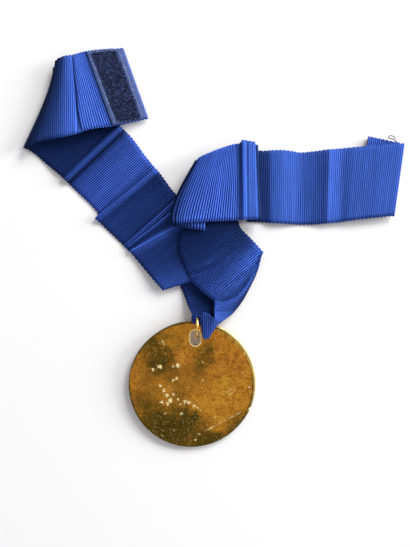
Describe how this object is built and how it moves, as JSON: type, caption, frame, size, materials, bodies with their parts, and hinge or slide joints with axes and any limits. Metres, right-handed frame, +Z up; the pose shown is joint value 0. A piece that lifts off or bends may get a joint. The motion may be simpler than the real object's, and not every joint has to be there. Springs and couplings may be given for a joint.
{
  "type": "round medal on a corded ribbon",
  "caption": "Round plain-backed medal on a jump ring and a loose wide corded ribbon with sewn touch-fastening end patches, laid out flat.",
  "frame": {"origin": "on the surface that everything lies on, under the middle of the whole object's box", "axes": "+Z up from the surface, +X to the right and +Y away from the viewer, as the picture shows it"},
  "size_m": [0.1894, 0.1986, 0.0116],
  "materials": {
    "ribbon": "corded grosgrain weave",
    "medal_disc": "worn gilt, polished, scratched and pitted",
    "jump_ring": "polished gilt",
    "loop_patch": "soft looped pile",
    "hook_patch": "matt woven tape",
    "wire_loop": "dull, greyish olive"
  },
  "bodies": {
    "root": {"ribbon": "ribbon", "medal_disc": "medal_disc", "jump_ring": "jump_ring", "loop_patch": "loop_patch", "hook_patch": "hook_patch", "wire_loop": "wire_loop"}
  },
  "joints": []
}
